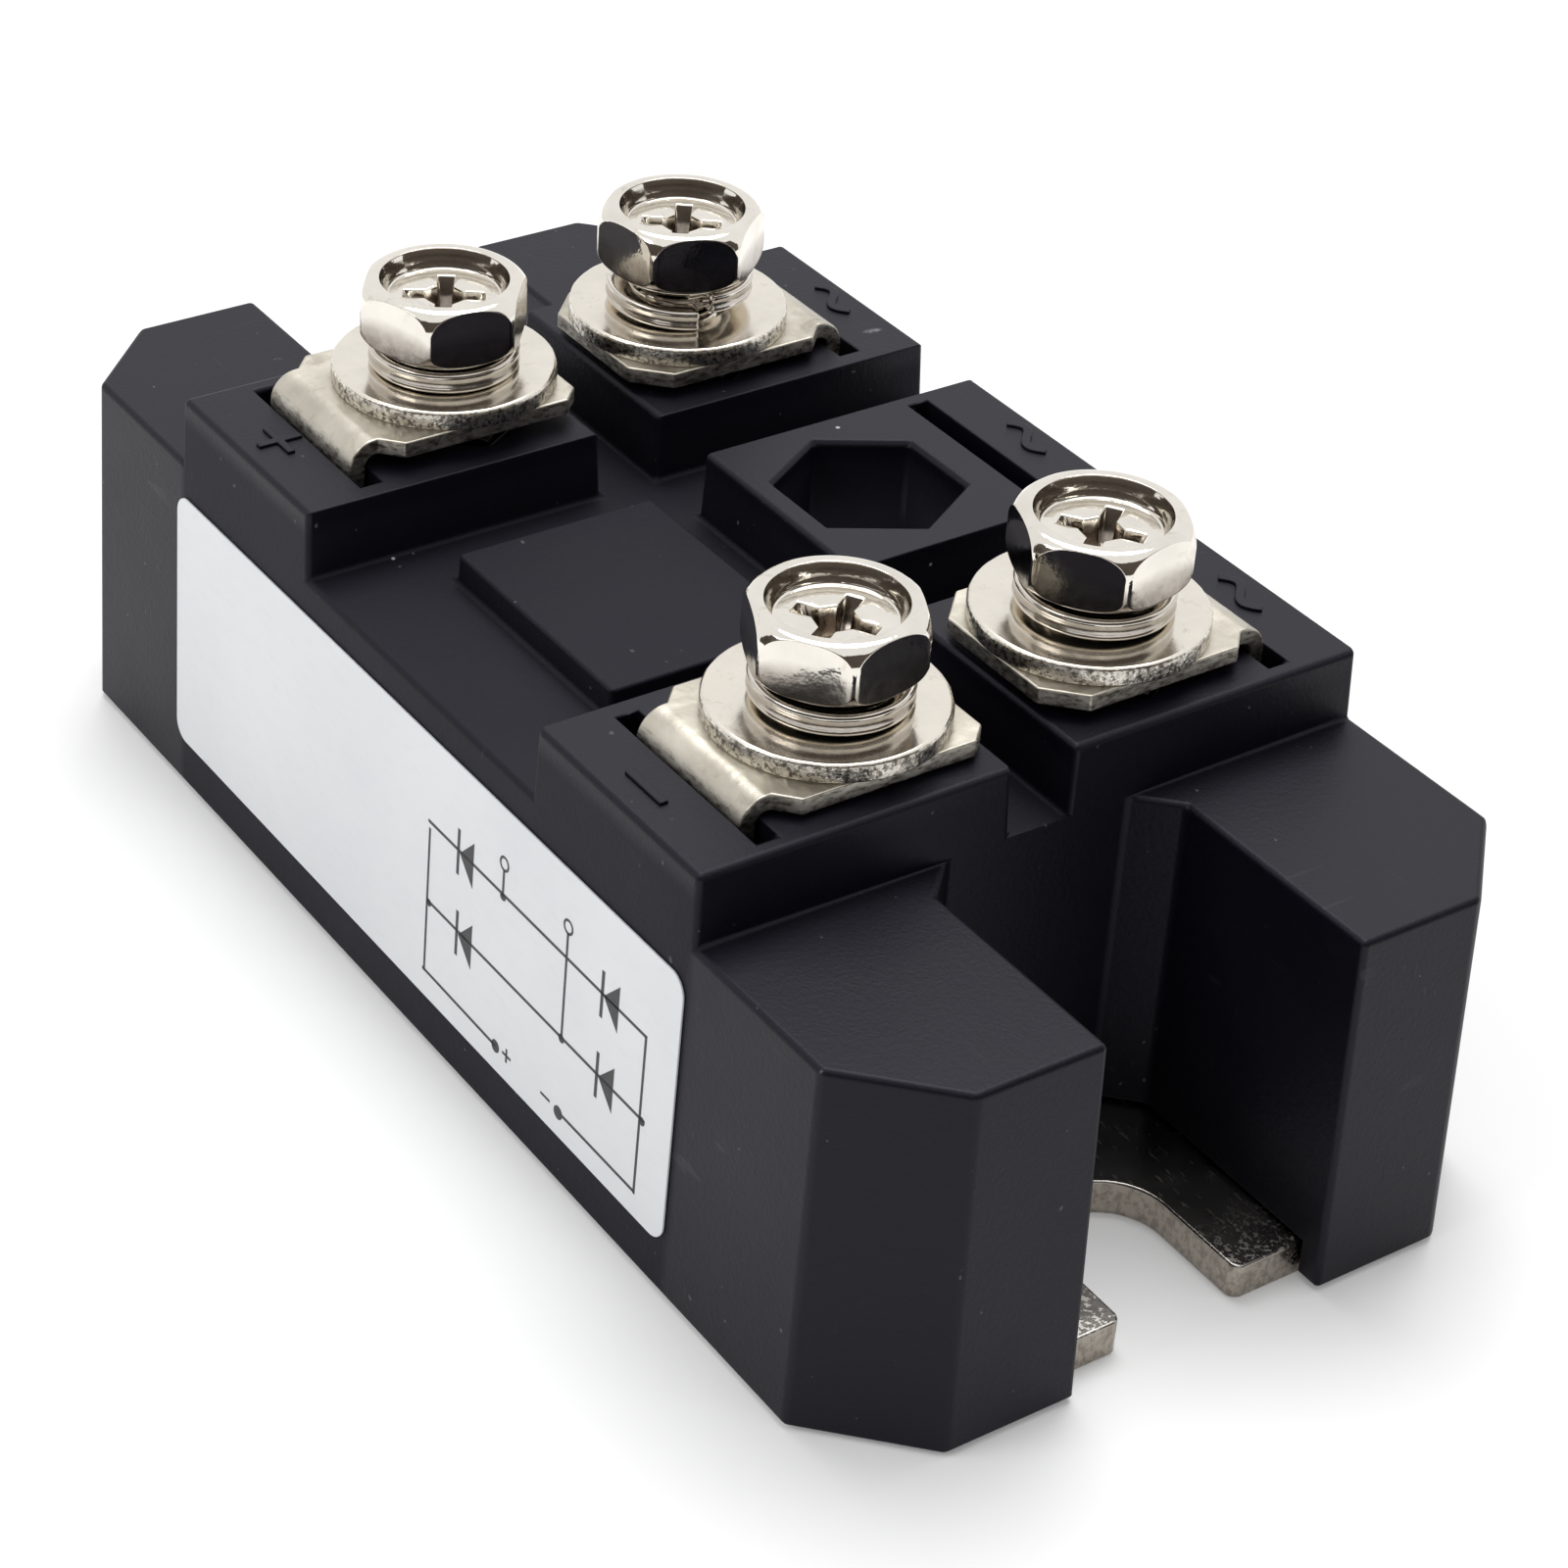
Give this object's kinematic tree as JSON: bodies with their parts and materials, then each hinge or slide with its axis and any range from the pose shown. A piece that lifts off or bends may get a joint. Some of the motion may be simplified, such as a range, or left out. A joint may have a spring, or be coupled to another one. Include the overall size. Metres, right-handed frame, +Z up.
{
  "type": "single-phase bridge rectifier module",
  "caption": "Flat power rectifier module: drafted black housing with stepped terminal towers, end notches and pocket, metal base plate, hex screw terminals.",
  "frame": {"origin": "centre of the base plate's underside", "axes": "+X along the module's length, +Y from the direct-current side to the alternating-current side, +Z up from the base plate to the screw heads"},
  "size_m": [0.08, 0.0396, 0.0319],
  "materials": {
    "moulded_black": "fine-spark moulded glass-filled polyester, charcoal black, satin edges",
    "plated_copper": "nickel-plated copper plate, ground flat, bright satin",
    "seal_silicone": "black silicone adhesive bead",
    "label_foil": "silver-grey satin film printed in black",
    "plated_brass": "nickel-plated sheet brass, satin faces and sheared edges",
    "plated_steel": "bright nickel-plated steel",
    "spring_steel": "nickel-plated spring steel, rolled faces",
    "bare_copper": "bare copper, matte",
    "alumina": "white alumina ceramic",
    "silicon": "metallised silicon chip, dark grey",
    "clear_gel": "soft translucent silicone gel",
    "potting_black": "cast black epoxy"
  },
  "bodies": {
    "root": {"housing": "moulded_black", "base_plate": "plated_copper", "seal_bead": "seal_silicone", "label": "label_foil", "terminal_plus": "plated_brass", "terminal_minus": "plated_brass", "terminal_ac_left": "plated_brass", "terminal_ac_right": "plated_brass", "terminal_screws": "plated_steel", "spring_washers": "spring_steel", "flat_washers": "plated_steel", "captive_nuts": "plated_steel", "back_copper": "bare_copper", "ceramic": "alumina", "pad_plus": "bare_copper", "pad_minus": "bare_copper", "pad_ac_left": "bare_copper", "pad_ac_right": "bare_copper", "silicone_gel": "clear_gel", "potting_resin": "potting_black", "die_1": "silicon", "clip_1": "bare_copper", "die_2": "silicon", "clip_2": "bare_copper", "die_3": "silicon", "clip_3": "bare_copper", "die_4": "silicon", "clip_4": "bare_copper"}
  },
  "joints": []
}
